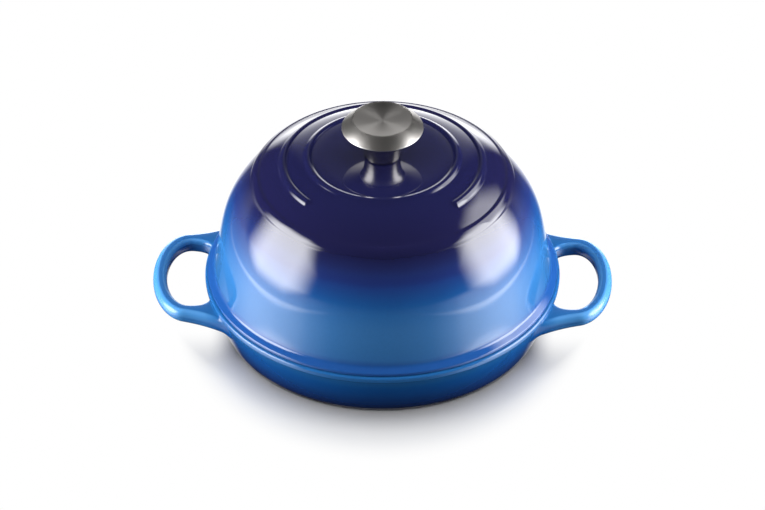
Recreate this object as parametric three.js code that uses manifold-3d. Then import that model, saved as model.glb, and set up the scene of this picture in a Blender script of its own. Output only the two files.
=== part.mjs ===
// A round enamelled cast-iron bread pot: a shallow base with two loop handles, a tall domed lid
// and a steel knob held on by a screw from inside the lid.
// Millimetres, +Z up. The origin is the centre of the foot, X runs through the two handles
// and the front, where the lid's middle bead is broken, is at -Y.
import * as THREE from 'three';
import { mergeVertices } from 'three/addons/utils/BufferGeometryUtils.js';
import Module from 'manifold-3d';

// Base
const RIM_RADIUS = 127;
const BASE_HEIGHT = 40;
const FOOT_RADIUS = 114.8;
const FOOT_CORNER = 5;
const BASE_WALL = 4.1;
const BASE_FLOOR = 4.5;
const FLOOR_CORNER = 7;
const LIP_HEIGHT = 5;
const LIP_STEP = 1.2;
const LIP_EDGE = 1.6;
const RIDGE_COUNT = 3;
const RIDGE_SPACING = 27;
const RIDGE_WIDTH = 5;
const RIDGE_HEIGHT = 1.2;

// Loop handles, cast in one with the base
const HANDLE_OUT = 37.5;
const HANDLE_SPAN = 95;
const HANDLE_BAR = 10;
const HANDLE_THICKNESS = 9.3;
const HANDLE_ROOT_THICKNESS = 11;
const HANDLE_DROP = 3;
const HANDLE_RISE = 1.1;
const HANDLE_EDGE = 3;
const HANDLE_END = 22;
const HANDLE_TAPER = 11;
const HANDLE_ROOT_FLARE = 13;
const HANDLE_ROOT_ANGLE = 29;
const HANDLE_TUCK = 9;
const HANDLE_HOLE_END = 17.6;
const HANDLE_HOLE_CORNER = 15;

// Lid
const LID_SETBACK = 1.8;
const LID_EDGE_HEIGHT = 1.9;
const LID_EDGE_BREAK = 0.6;
const SKIRT_WIDTH = 4.7;
const SKIRT_HEIGHT = 7.1;
const SKIRT_HOLLOW = 1.2;
const LID_HEIGHT = 100.75;
const LID_WALL = 3.9;
const WALL_LEAN = 11.3;
const SHOULDER_SLOPE = 53;
const PLATEAU_CURVE = 6000;
const CROWN_START = 41.5;
const CROWN_CURVE = 76.4;
const SPIGOT_DEPTH = 3;
const SPIGOT_WIDTH = 4;

// Raised beads round the crown: the inner one's radius, the steps out to the others and their section
const INNER_BEAD_RADIUS = 53.2;
const MIDDLE_BEAD_STEP = 18;
const OUTER_BEAD_STEP = 18.9;
const BEAD_WIDTH = 6;
const BEAD_HEIGHT = 1.5;
const BEAD_BREAK = 90;
const BEAD_END = 3;

// Knob
const NECK_FOOT_RADIUS = 12.7;
const NECK_TOP_RADIUS = 16;
const NECK_HEIGHT = 18;
const NECK_STRAIGHT = 12.6;
const NECK_SPIGOT = 2.6;
const NECK_GROOVE = 1.2;
const CAP_RADIUS = 28.9;
const CAP_UNDER_RISE = 5.3;
const CAP_LIP = 1.4;
const CAP_SHOULDER = 6.5;
const CAP_TOP_SLOPE = 28;
const CAP_WALL = 1.8;
const CAP_RIM = 0.3;
const DISC_RADIUS = 20.9;
const DISC_THICKNESS = 1.2;
const DISC_DISH = 0.5;

// Screw joint between the knob and the lid
const SCREW_RADIUS = 2.5;
const SCREW_REACH = 16;
const SCREW_TIP = 1.2;
const SCREW_HEAD_RADIUS = 4.8;
const SCREW_HEAD_HEIGHT = 3.2;
const SCREW_HEAD_EDGE = 1.5;
const DRIVE_WIDTH = 1.1;
const DRIVE_DEPTH = 1.6;
const INSERT_RADIUS = 6;
const FLAT_WASHER_RADIUS = 7.5;
const FLAT_WASHER_THICKNESS = 1.2;
const LOCK_WASHER_RADIUS = 4.7;
const LOCK_WASHER_THICKNESS = 1.4;
const LOCK_WASHER_SPLIT = 0.9;

// Clearances
const SEAT_GAP = 0.3;
const FIT_GAP = 0.3;
const LID_PLAY = 1;
const CUT_OVERSHOOT = 2;

// Facets round each turned piece, and along each kind of curve
const POT_STEPS = 48;
const KNOB_STEPS = 32;
const SCREW_STEPS = 20;
const CORNER_STEPS = 3;
const CURVE_STEPS = 6;
const DOME_STEPS = 9;
const BEAD_STEPS = 4;

// Length of a curve's handles, as a share of its reach, that makes it nearly circular
const ROUND_PULL = 0.55;
// Points closer than this are one point
const MERGE_DISTANCE = 1e-4;

const ENAMEL = { roughness: 0.12, metalness: 0 };
const STEEL = { roughness: 0.32, metalness: 1 };

const wasm = await Module();
wasm.setup();

const radians = THREE.MathUtils.degToRad;
const point = (radius, height) => new THREE.Vector2(radius, height);

// Points of a circular arc in a turning profile, from one angle to another in degrees.
function arc(radius, height, size, from, to, steps) {
  return Array.from({ length: steps + 1 }, (_, i) => {
    const angle = radians(from + ((to - from) * i) / steps);
    return point(radius + size * Math.cos(angle), height + size * Math.sin(angle));
  });
}

// The same line moved sideways by a distance, to its left as it runs.
function offset(points, distance) {
  return points.map((here, i) => {
    const before = points[Math.max(i - 1, 0)];
    const after = points[Math.min(i + 1, points.length - 1)];
    const along = after.clone().sub(before).normalize();
    return point(here.x - along.y * distance, here.y + along.x * distance);
  });
}

// Shared vertices and no flat triangles, so that a geometry is one closed surface.
function closed(geometry) {
  geometry.deleteAttribute('normal');
  geometry.deleteAttribute('uv');
  const merged = mergeVertices(geometry, MERGE_DISTANCE);
  const index = Array.from(merged.index.array);
  const kept = [];
  for (let i = 0; i < index.length; i += 3) {
    const [a, b, c] = index.slice(i, i + 3);
    if (a !== b && b !== c && c !== a) kept.push(a, b, c);
  }
  merged.setIndex(kept);
  return merged;
}

// A profile turned about the Z axis.
function turned(points, steps) {
  return closed(new THREE.LatheGeometry(points, steps).rotateX(Math.PI / 2));
}

function solid(geometry) {
  return new wasm.Manifold(new wasm.Mesh({
    numProp: 3,
    vertProperties: new Float32Array(geometry.attributes.position.array),
    triVerts: new Uint32Array(geometry.index.array),
  }));
}

function surface(body) {
  const mesh = body.getMesh();
  const geometry = new THREE.BufferGeometry();
  geometry.setAttribute('position', new THREE.BufferAttribute(mesh.vertProperties, 3));
  geometry.setIndex(new THREE.BufferAttribute(mesh.triVerts, 1));
  return geometry;
}

function piece(name, geometry, color, finish) {
  const mesh = new THREE.Mesh(geometry, new THREE.MeshStandardMaterial({ color, ...finish }));
  mesh.name = name;
  return mesh;
}

// Base: the wall leans out from the foot to the lip, and the cavity follows it inside.
const wallTop = point(RIM_RADIUS - LIP_STEP, BASE_HEIGHT - LIP_HEIGHT);
const mouthRadius = wallTop.x - BASE_WALL;

function baseOuter() {
  return turned([
    point(0, 0),
    ...arc(FOOT_RADIUS - FOOT_CORNER, FOOT_CORNER, FOOT_CORNER, -90, 0, CORNER_STEPS),
    wallTop,
    point(RIM_RADIUS, wallTop.y + LIP_STEP),
    ...arc(RIM_RADIUS - LIP_EDGE, BASE_HEIGHT - LIP_EDGE, LIP_EDGE, 0, 90, CORNER_STEPS),
    point(0, BASE_HEIGHT),
  ], POT_STEPS);
}

function baseCavity() {
  const floorRadius = FOOT_RADIUS - BASE_WALL;
  const ridges = Array.from({ length: RIDGE_COUNT }, (_, i) => (i + 1) * RIDGE_SPACING);
  return turned([
    point(0, BASE_FLOOR),
    ...ridges.flatMap((radius) => [
      point(radius - RIDGE_WIDTH / 2, BASE_FLOOR),
      point(radius, BASE_FLOOR + RIDGE_HEIGHT),
      point(radius + RIDGE_WIDTH / 2, BASE_FLOOR),
    ]),
    ...arc(floorRadius - FLOOR_CORNER, BASE_FLOOR + FLOOR_CORNER, FLOOR_CORNER, -90, 0, CORNER_STEPS),
    point(mouthRadius, wallTop.y),
    point(mouthRadius, BASE_HEIGHT + CUT_OVERSHOOT),
    point(0, BASE_HEIGHT + CUT_OVERSHOOT),
  ], POT_STEPS);
}

// One loop handle in plan, pointing along +X: a rounded bar with flared roots and a finger hole.
// The roots end square, tucked inside the wall.
function handleShape() {
  const tip = RIM_RADIUS + HANDLE_OUT;
  const bend = tip - HANDLE_END;
  const half = HANDLE_SPAN / 2;
  const rootHalf = half + HANDLE_ROOT_FLARE;
  const root = Math.sqrt(mouthRadius ** 2 - rootHalf ** 2);
  const tuck = root - HANDLE_TUCK;
  const bow = HANDLE_END * ROUND_PULL;
  const bowRise = bow * Math.tan(radians(HANDLE_TAPER));
  const rootRise = bow * Math.tan(radians(HANDLE_ROOT_ANGLE));
  const bulge = half * ROUND_PULL;
  const shape = new THREE.Shape();
  shape.moveTo(tuck, -rootHalf);
  shape.lineTo(root, -rootHalf);
  shape.bezierCurveTo(root + bow, rootRise - rootHalf, bend - bow, -half - bowRise, bend, -half);
  shape.bezierCurveTo(bend + bow, bowRise - half, tip, -bulge, tip, 0);
  shape.bezierCurveTo(tip, bulge, bend + bow, half - bowRise, bend, half);
  shape.bezierCurveTo(bend - bow, half + bowRise, root + bow, rootHalf - rootRise, root, rootHalf);
  shape.lineTo(tuck, rootHalf);

  const inside = half - HANDLE_BAR;
  const holeBend = tip - HANDLE_BAR - HANDLE_HOLE_END;
  const near = mouthRadius;
  const corner = HANDLE_HOLE_CORNER;
  const hole = new THREE.Path();
  hole.moveTo(holeBend, -inside);
  hole.lineTo(near + corner, -inside);
  hole.quadraticCurveTo(near, -inside, near, corner - inside);
  hole.lineTo(near, inside - corner);
  hole.quadraticCurveTo(near, inside, near + corner, inside);
  hole.lineTo(holeBend, inside);
  hole.absellipse(holeBend, 0, HANDLE_HOLE_END, inside, Math.PI / 2, -Math.PI / 2, true);
  shape.holes.push(hole);
  return shape;
}

// The bar thickens towards its roots, and its top rises a little towards the tip.
function handle(turn) {
  const bar = new THREE.ExtrudeGeometry(handleShape(), {
    depth: HANDLE_THICKNESS - 2 * HANDLE_EDGE,
    bevelThickness: HANDLE_EDGE,
    bevelSize: HANDLE_EDGE,
    bevelOffset: -HANDLE_EDGE,
    bevelSegments: CORNER_STEPS,
    curveSegments: CURVE_STEPS,
  });
  const tip = RIM_RADIUS + HANDLE_OUT;
  const spots = bar.attributes.position;
  for (let i = 0; i < spots.count; i += 1) {
    const inward = (tip - spots.getX(i)) / HANDLE_OUT;
    const top = BASE_HEIGHT - HANDLE_DROP - HANDLE_RISE * inward;
    const thickness = THREE.MathUtils.lerp(HANDLE_THICKNESS, HANDLE_ROOT_THICKNESS, inward);
    const up = (spots.getZ(i) + HANDLE_EDGE) / HANDLE_THICKNESS;
    spots.setZ(i, top - thickness * (1 - up));
  }
  return closed(bar.rotateZ(turn));
}

function baseGeometry() {
  const body = solid(baseOuter()).add(solid(handle(0))).add(solid(handle(Math.PI)));
  return surface(body.subtract(solid(baseCavity())));
}

// Lid: a flared skirt, a leaning wall and shoulder, and a crown that flattens to a plateau.
const seat = BASE_HEIGHT + SEAT_GAP;
const crownTop = seat + LID_HEIGHT;
const lidRadius = RIM_RADIUS - LID_SETBACK;
const domeFoot = point(lidRadius - SKIRT_WIDTH, seat + SKIRT_HEIGHT);
const middleBeadRadius = INNER_BEAD_RADIUS + MIDDLE_BEAD_STEP;
const outerBeadRadius = middleBeadRadius + OUTER_BEAD_STEP;
const shoulderRadius = outerBeadRadius + BEAD_WIDTH / 2;
const screwHole = SCREW_RADIUS + FIT_GAP;

// Height of the bare crown at a radius.
function crown(radius) {
  const past = Math.max(radius - CROWN_START, 0);
  const fall = CROWN_CURVE - Math.sqrt(Math.max(CROWN_CURVE ** 2 - past ** 2, 0));
  return crownTop - radius ** 2 / (2 * PLATEAU_CURVE) - fall;
}

// The bare outside of the lid from the foot of the dome to the screw hole.
function domeLine() {
  const top = point(shoulderRadius, crown(shoulderRadius));
  const reach = (top.y - domeFoot.y) * ROUND_PULL;
  const lean = radians(WALL_LEAN);
  const slope = radians(SHOULDER_SLOPE);
  const wall = new THREE.CubicBezierCurve(
    domeFoot,
    point(domeFoot.x - reach * Math.sin(lean), domeFoot.y + reach * Math.cos(lean)),
    point(top.x + reach * Math.cos(slope), top.y - reach * Math.sin(slope)),
    top,
  );
  return wall.getPoints(DOME_STEPS);
}

// Points across one bead, from its outer foot to its inner foot.
function bead(radius) {
  return Array.from({ length: BEAD_STEPS + 1 }, (_, i) => {
    const side = 1 - (2 * i) / BEAD_STEPS;
    const here = radius + (side * BEAD_WIDTH) / 2;
    return point(here, crown(here) + BEAD_HEIGHT * (1 - side ** 2));
  });
}

function plain(radii) {
  return radii.map((radius) => point(radius, crown(radius)));
}

function lidProfile() {
  const spigot = mouthRadius - LID_PLAY;
  const wall = domeLine();
  const middle = plain([INNER_BEAD_RADIUS / 2, screwHole]);
  const bare = plain([middleBeadRadius, INNER_BEAD_RADIUS]);
  const lining = offset([...wall, ...bare, ...middle], LID_WALL).reverse();
  lining[0].x = screwHole;
  const edge = point(lidRadius, seat + LID_EDGE_HEIGHT);
  const hollow = edge.clone().add(domeFoot).divideScalar(2);
  hollow.add(point(-SKIRT_HOLLOW, -SKIRT_HOLLOW));
  return [
    ...lining,
    point(spigot - SPIGOT_WIDTH, seat - SPIGOT_DEPTH),
    point(spigot, seat - SPIGOT_DEPTH),
    point(spigot, seat),
    point(lidRadius - LID_EDGE_BREAK, seat),
    point(lidRadius, seat + LID_EDGE_BREAK),
    ...new THREE.QuadraticBezierCurve(edge, hollow, domeFoot).getPoints(CORNER_STEPS),
    ...wall.slice(1, -1),
    ...[outerBeadRadius, middleBeadRadius, INNER_BEAD_RADIUS].flatMap(bead),
    ...middle,
    lining[0],
  ];
}

// The middle bead is left out across the front: its points there go down to the bare crown, and the
// last ones are turned to the edges of the break, so that each end slopes down over a short length.
function breakMiddleBead(spots) {
  const half = radians(BEAD_BREAK / 2);
  const step = (2 * Math.PI) / POT_STEPS;
  for (let i = 0; i < spots.count; i += 1) {
    const radius = Math.hypot(spots.getX(i), spots.getY(i));
    const bare = crown(radius);
    const raised = spots.getZ(i) > bare + MERGE_DISTANCE;
    const around = Math.atan2(spots.getX(i), -spots.getY(i));
    const past = Math.abs(around) - half - MERGE_DISTANCE;
    if (!raised || Math.abs(radius - middleBeadRadius) > BEAD_WIDTH / 2 || past > step) continue;
    const isEnd = past > -step;
    const end = half + (past > 0 ? BEAD_END / middleBeadRadius : 0);
    const turn = isEnd ? end * Math.sign(around) : around;
    spots.setXYZ(i, radius * Math.sin(turn), -radius * Math.cos(turn), past > 0 ? spots.getZ(i) : bare);
  }
}

function lidGeometry() {
  const body = new THREE.LatheGeometry(lidProfile(), POT_STEPS).rotateX(Math.PI / 2);
  breakMiddleBead(body.attributes.position);
  return closed(body);
}

// Knob: a neck that stands on the crown, a pressed cap on the neck's spigot, and a disc let into the cap.
const neckFoot = crown(0) + SEAT_GAP;
const neckTop = neckFoot + NECK_HEIGHT;
const capFloor = neckTop + SEAT_GAP;
const capLip = capFloor + CAP_UNDER_RISE;
const capTop = capLip + CAP_LIP + CAP_SHOULDER;
const insertBore = INSERT_RADIUS + FIT_GAP;
const neckSpigot = (insertBore + NECK_TOP_RADIUS) / 2;

function neckGeometry() {
  const flare = new THREE.QuadraticBezierCurve(
    point(NECK_FOOT_RADIUS, neckFoot + NECK_GROOVE),
    point(NECK_FOOT_RADIUS, neckFoot + NECK_STRAIGHT),
    point(NECK_TOP_RADIUS, neckTop - NECK_GROOVE),
  ).getPoints(CURVE_STEPS);
  const start = point(insertBore, neckFoot);
  return turned([
    start,
    point(NECK_FOOT_RADIUS - NECK_GROOVE, neckFoot),
    ...flare,
    point(NECK_TOP_RADIUS - NECK_GROOVE, neckTop),
    point(neckSpigot, neckTop),
    point(neckSpigot, neckTop + NECK_SPIGOT),
    point(insertBore, neckTop + NECK_SPIGOT),
    start,
  ], KNOB_STEPS);
}

function capGeometry() {
  const hole = neckSpigot + FIT_GAP;
  const ledge = capTop - DISC_THICKNESS - FIT_GAP;
  const recess = DISC_RADIUS + FIT_GAP;
  const rim = recess + CAP_RIM;
  const pull = (CAP_RADIUS - rim) * ROUND_PULL;
  const pullDrop = pull * Math.tan(radians(CAP_TOP_SLOPE));
  const shoulder = new THREE.CubicBezierCurve(
    point(CAP_RADIUS, capLip + CAP_LIP),
    point(CAP_RADIUS, capLip + CAP_LIP + pull),
    point(rim + pull, capTop - pullDrop),
    point(rim, capTop),
  ).getPoints(CURVE_STEPS);
  const start = point(hole, capFloor);
  return turned([
    start,
    point(NECK_TOP_RADIUS, capFloor),
    point(CAP_RADIUS - CAP_LIP, capLip),
    point(CAP_RADIUS, capLip + CAP_LIP / 2),
    ...shoulder,
    point(recess, capTop),
    point(recess, ledge),
    point(recess - CAP_WALL, ledge),
    point(recess - CAP_WALL, capLip + CAP_WALL),
    point(NECK_TOP_RADIUS, capFloor + CAP_WALL),
    point(hole, capFloor + CAP_WALL),
    start,
  ], KNOB_STEPS);
}

function discGeometry() {
  const bottom = capTop - DISC_THICKNESS;
  const dish = [1, 1 / 2, 0].map((share) => point(
    DISC_RADIUS * share,
    capTop - DISC_DISH * (1 - share ** 2),
  ));
  return turned([point(0, bottom), point(DISC_RADIUS, bottom), ...dish], KNOB_STEPS);
}

// The threaded bush that is pressed into the neck and stops below the disc.
function insertGeometry() {
  const start = point(screwHole, neckFoot);
  return turned([
    start,
    point(INSERT_RADIUS, neckFoot),
    point(INSERT_RADIUS, neckTop + NECK_SPIGOT),
    point(screwHole, neckTop + NECK_SPIGOT),
    start,
  ], KNOB_STEPS);
}

// Screw and washers, stacked under the middle of the lid.
const lidUnder = crown(screwHole) - LID_WALL;
const flatWasherTop = lidUnder - SEAT_GAP;
const lockWasherTop = flatWasherTop - FLAT_WASHER_THICKNESS - SEAT_GAP;
const headTop = lockWasherTop - LOCK_WASHER_THICKNESS - SEAT_GAP;

function ring(outside, top, thickness) {
  const start = point(screwHole, top - thickness);
  return turned([
    start,
    point(outside, top - thickness),
    point(outside, top),
    point(screwHole, top),
    start,
  ], SCREW_STEPS);
}

function flatWasherGeometry() {
  return ring(FLAT_WASHER_RADIUS, flatWasherTop, FLAT_WASHER_THICKNESS);
}

function lockWasherGeometry() {
  const split = new THREE.BoxGeometry(LOCK_WASHER_RADIUS * 2, LOCK_WASHER_SPLIT, LOCK_WASHER_THICKNESS * 2)
    .translate(LOCK_WASHER_RADIUS + screwHole / 2, 0, lockWasherTop - LOCK_WASHER_THICKNESS / 2);
  const whole = ring(LOCK_WASHER_RADIUS, lockWasherTop, LOCK_WASHER_THICKNESS);
  return surface(solid(whole).subtract(solid(closed(split))));
}

// A pan-head screw with a cross drive.
function screwGeometry() {
  const headBottom = headTop - SCREW_HEAD_HEIGHT;
  const shank = solid(turned([
    point(0, headBottom),
    point(SCREW_HEAD_RADIUS - SCREW_HEAD_EDGE, headBottom),
    point(SCREW_HEAD_RADIUS, headBottom + SCREW_HEAD_EDGE),
    point(SCREW_HEAD_RADIUS, headTop),
    point(SCREW_RADIUS, headTop),
    point(SCREW_RADIUS, neckFoot + SCREW_REACH - SCREW_TIP),
    point(SCREW_RADIUS - SCREW_TIP, neckFoot + SCREW_REACH),
    point(0, neckFoot + SCREW_REACH),
  ], SCREW_STEPS));
  const slots = [0, Math.PI / 2].map((turn) => solid(closed(
    new THREE.BoxGeometry(SCREW_HEAD_RADIUS, DRIVE_WIDTH, DRIVE_DEPTH * 2)
      .rotateZ(turn)
      .translate(0, 0, headBottom),
  )));
  return surface(slots.reduce((body, slot) => body.subtract(slot), shank));
}

const breadPot = new THREE.Group();
breadPot.add(
  piece('base', baseGeometry(), 0x1f5fae, ENAMEL),
  piece('lid', lidGeometry(), 0x2a4a95, ENAMEL),
  piece('knob_neck', neckGeometry(), 0x8f8d8c, STEEL),
  piece('knob_cap', capGeometry(), 0xb5b2b1, STEEL),
  piece('knob_top_disc', discGeometry(), 0x9c9998, STEEL),
  piece('knob_insert', insertGeometry(), 0xa89f8c, STEEL),
  piece('knob_screw', screwGeometry(), 0xb8b8b6, STEEL),
  piece('knob_flat_washer', flatWasherGeometry(), 0xb0b0ae, STEEL),
  piece('knob_lock_washer', lockWasherGeometry(), 0x9a9a98, STEEL),
);

export default breadPot;
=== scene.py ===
"""A round enamelled cast-iron bread pot: its castings, steel knob and the studio it stands in."""
import cmath
import math

import bmesh
import bpy
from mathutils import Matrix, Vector


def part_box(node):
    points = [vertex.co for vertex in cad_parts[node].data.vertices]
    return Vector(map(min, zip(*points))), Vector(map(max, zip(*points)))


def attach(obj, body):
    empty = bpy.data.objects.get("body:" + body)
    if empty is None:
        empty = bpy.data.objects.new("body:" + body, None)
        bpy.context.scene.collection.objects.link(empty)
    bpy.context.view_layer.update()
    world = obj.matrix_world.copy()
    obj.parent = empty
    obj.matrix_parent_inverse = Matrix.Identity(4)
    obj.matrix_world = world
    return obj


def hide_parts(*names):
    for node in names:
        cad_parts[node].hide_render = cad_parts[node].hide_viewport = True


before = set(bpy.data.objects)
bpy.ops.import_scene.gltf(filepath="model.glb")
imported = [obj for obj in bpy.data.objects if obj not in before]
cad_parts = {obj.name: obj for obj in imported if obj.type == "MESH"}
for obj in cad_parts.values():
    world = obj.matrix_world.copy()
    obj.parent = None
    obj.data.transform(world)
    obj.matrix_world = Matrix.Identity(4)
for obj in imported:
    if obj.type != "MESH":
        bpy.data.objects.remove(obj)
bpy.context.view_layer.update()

bl_info = {
    "name": "Bread pot",
    "version": (1, 0, 0),
    "blender": (4, 5, 0),
    "location": "View3D > Sidebar > Bread pot",
    "description": "Builds an enamelled cast-iron bread pot and the studio that it is shown in",
    "category": "Object",
}

MM = 0.001

_, BASE_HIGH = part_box("base")
LID_LOW, LID_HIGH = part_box("lid")
NECK_LOW, NECK_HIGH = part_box("knob_neck")
CAP_LOW, CAP_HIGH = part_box("knob_cap")
DISC_LOW, DISC_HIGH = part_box("knob_top_disc")
INSERT_LOW, INSERT_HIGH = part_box("knob_insert")
SCREW_LOW, SCREW_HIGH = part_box("knob_screw")
FLAT_LOW, FLAT_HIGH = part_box("knob_flat_washer")
LOCK_LOW, LOCK_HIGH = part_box("knob_lock_washer")

# Photograph's frame in pixels, for the camera's lens
IMAGE_WIDTH = 765
SENSOR_WIDTH = 36.0

# Fineness of the meshes
ROUND_STEPS = 320
KNOB_STEPS = 160
SCREW_STEPS = 64
FILLET_STEPS = 6
AXIS_RADIUS = 1e-7

# Pieces of the knob that show
NECK_PIECE, CAP_PIECE, DISC_PIECE = "knob_neck_turned", "knob_cap_pressed", "knob_disc_spun"

# Face materials of the castings
OUTSIDE, LINING = 0, 1

# Setting of a node whose values start and end softly
SOFT = {"interpolation_type": "SMOOTHSTEP"}

# Reach of a curve's pulls for an even rounding, as a share of what it spans
PULL = 0.55


def opaque(shade):
    """A colour with full alpha."""
    return tuple(shade) + (1.0,)


def linear(code):
    """The linear colour, with alpha, of an sRGB hex value."""
    parts = [int(code[i:i + 2], 16) / 255 for i in (0, 2, 4)]
    return opaque(p / 12.92 if p <= 0.04045 else ((p + 0.055) / 1.055) ** 2.4 for p in parts)


def length(name, description, default):
    """A size in metres that a user can change."""
    return bpy.props.FloatProperty(
        name=name, description=description, default=default, min=0, unit="LENGTH", precision=5)


def slant(name, description, default):
    """An angle, given in degrees, that a user can change."""
    return bpy.props.FloatProperty(
        name=name, description=description, default=math.radians(default), subtype="ANGLE")


def colour(name, description, code):
    """A colour, given as an sRGB hex value, that a user can change."""
    return bpy.props.FloatVectorProperty(
        name=name, description=description, default=linear(code)[:3], min=0, max=1, subtype="COLOR")


def amount(name, description, default):
    """A plain number that a user can change."""
    return bpy.props.FloatProperty(name=name, description=description, default=default, min=0)


class BaseSizes(bpy.types.PropertyGroup):
    """Sizes of the shallow base and its cooking floor."""
    rim_radius: length("Rim radius", "Outside of the lip", BASE_HIGH.y)
    height: length("Height", "Foot to the top of the lip", BASE_HIGH.z)
    foot_radius: length("Foot radius", "Where the wall, drawn on, meets the ground", 112.97 * MM)
    foot_fillet: length("Foot fillet", "Rounding between the foot and the wall", 7.6 * MM)
    wall: length("Wall", "Thickness of the casting at the mouth", 4.1 * MM)
    floor: length("Floor", "Thickness of the cooking floor", 4.5 * MM)
    floor_radius: length("Floor radius", "Where the inner wall, drawn on, meets the floor", 107.4 * MM)
    floor_fillet: length("Floor fillet", "Rounding between the floor and the inner wall", 11 * MM)
    lip_height: length("Lip height", "Height of the lip with its sloping underside", 5 * MM)
    lip_step: length("Lip step", "How far the lip stands out from the wall", 1.2 * MM)
    lip_edge: length("Lip edge", "Rounding of the lip's top edge", 1.6 * MM)
    lip_break: length("Lip break", "Small roundings under the lip and at the mouth", 0.9 * MM)
    ridge_spacing: length("Ridge spacing", "From one floor ridge to the next", 27 * MM)
    ridge_width: length("Ridge width", "Width of a floor ridge", 5 * MM)
    ridge_height: length("Ridge height", "Height of a floor ridge", 1.2 * MM)
    ridge_count: bpy.props.IntProperty(
        name="Ridges", description="Ridges on the cooking floor", default=3, min=0)


class HandleSizes(bpy.types.PropertyGroup):
    """Sizes of the two loop handles, which are cast in one with the base."""
    tip: length("Tip", "From the middle of the pot to the end of the loop", BASE_HIGH.x)
    span: length("Span", "Across the loop where its end starts to curve", 95 * MM)
    bar: length("Bar", "Width of the bar at the tip and sides", 10 * MM)
    end: length("End", "Length of the loop's rounded end", 22 * MM)
    hole_end: length("Hole end", "Length of the finger hole's rounded end", 17.6 * MM)
    hole_corner: length("Hole corner", "Rounding of the finger hole where it meets the wall", 15 * MM)
    root_flare: length("Root flare", "How much wider each root is than the loop", 13 * MM)
    root_slant: slant("Root angle", "Angle of the flare where it leaves the wall", 29)
    taper: slant("Taper", "Angle of the loop's side where its end starts", 11)
    drop: length("Drop", "From the top of the lip down to the top of the tip", 3 * MM)
    rise: length("Rise", "How much lower the bar's top is at the rim than at the tip", 1.1 * MM)
    tip_thickness: length("Tip thickness", "Thickness of the bar at the tip", 9.3 * MM)
    root_thickness: length("Root thickness", "Thickness of the bar at the rim", 11 * MM)
    outer_edge: length("Outer edge", "Rounding of the bar's outer edges", 4.3 * MM)
    inner_edge: length("Inner edge", "Rounding of the bar's edges in the finger hole", 3.2 * MM)
    crown: length("Crown", "How far the bar's top and bottom faces bulge", 0.35 * MM)
    under_fillet: length("Under fillet", "Fillet between the bar's underside and the wall", 4.5 * MM)
    top_fillet: length("Top fillet", "Fillet between the bar's top and the lip", 1.3 * MM)


class LidSizes(bpy.types.PropertyGroup):
    """Sizes of the domed lid and its raised beads."""
    radius: length("Radius", "Outside of the skirt", LID_HIGH.y)
    seat: length("Seat", "Height of the face that rests on the lip", LID_LOW.z + 3 * MM)
    top: length("Top", "Height of the crown at the knob", LID_HIGH.z)
    skirt_height: length("Skirt height", "Height of the skirt's upright edge", 2.3 * MM)
    skirt_edge: length("Skirt edge", "Rounding of the skirt's top edge", 1.1 * MM)
    skirt_fillet: length("Skirt fillet", "Hollow rounding between the skirt and the dome", 3.6 * MM)
    foot_radius: length("Dome foot", "Radius of the dome where it meets the skirt", 120.86 * MM)
    foot_height: length("Dome foot height", "Height of that corner above the seat", 5.3 * MM)
    wall: length("Wall", "Thickness of the casting", 3.9 * MM)
    wall_lean: slant("Wall lean", "How far the foot of the dome leans in", 11.3)
    shoulder_slope: slant("Shoulder slope", "Slope of the dome where it meets the crown", 53)
    plateau_curve: length("Plateau curve", "Radius of the nearly flat middle of the crown", 6000 * MM)
    crown_start: length("Crown start", "Radius at which the crown starts to fall away", 41.5 * MM)
    crown_curve: length("Crown curve", "Radius of that fall", 76.4 * MM)
    spigot_radius: length("Spigot radius", "Outside of the rim that drops inside the lip", 120.7 * MM)
    spigot_width: length("Spigot width", "Thickness of that rim", 4 * MM)
    inner_bead: length("Inner bead", "Radius of the innermost bead", 53.2 * MM)
    middle_bead: length("Middle bead", "Radius of the broken bead", 71.2 * MM)
    outer_bead: length("Outer bead", "Radius of the bead at the shoulder", 90.1 * MM)
    bead_width: length("Bead width", "Width of a bead between its feet", 6 * MM)
    bead_height: length("Bead height", "Height of a bead", 1.5 * MM)
    bead_blend: length("Bead blend", "How softly a bead meets the crown", 0.4 * MM)
    outer_flank: length("Outer flank", "Width of the outer bead's rounded fall to the dome", 3.7 * MM)
    bead_break: slant("Bead break", "Angle over which the middle bead is left out at the front", 90)
    screw_hole: length("Screw hole", "Radius of the hole for the knob's screw", 2.8 * MM)


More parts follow.
